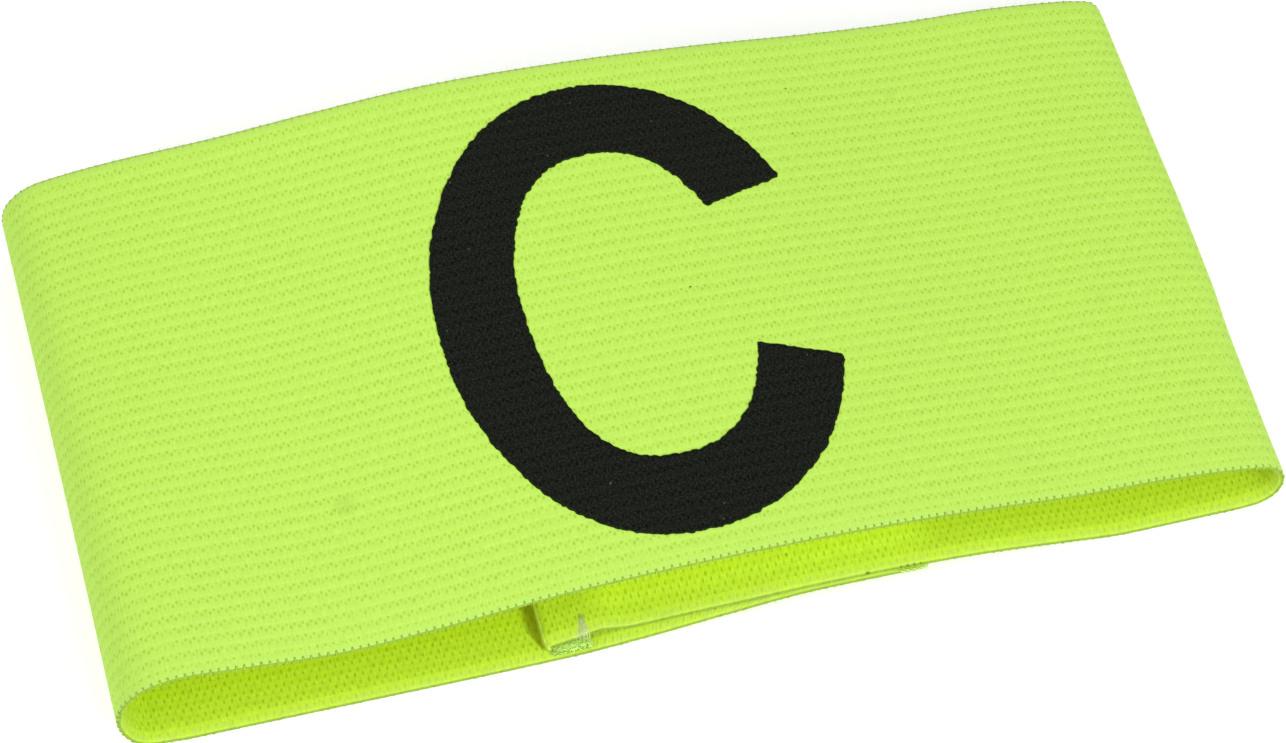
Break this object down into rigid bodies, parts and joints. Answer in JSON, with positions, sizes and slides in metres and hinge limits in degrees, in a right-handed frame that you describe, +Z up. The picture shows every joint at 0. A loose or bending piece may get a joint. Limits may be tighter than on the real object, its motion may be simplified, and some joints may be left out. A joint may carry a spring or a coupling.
{
  "type": "captain armband",
  "caption": "Wide knitted elastic armband closed to a flattened loop by overlapping ends with a hidden hook-and-loop patch, with a printed letter C.",
  "frame": {"origin": "centre of the footprint, on the surface that the armband lies on", "axes": "+X along the flattened loop, to the right of the letter as it is read; +Y along the arm, away from the front opening and towards the letter's top; +Z up"},
  "size_m": [0.1454, 0.0764, 0.0175],
  "materials": {
    "knitted_elastic": "ribbed neon lime knit, matt",
    "hook_and_loop": "black hook-and-loop tape, matt",
    "print": "black screen print on the knit, matt with a faint sheen"
  },
  "bodies": {
    "root": {"elastic_band": "knitted_elastic", "hook_and_loop_patch": "hook_and_loop", "printed_letter": "print"}
  },
  "joints": []
}
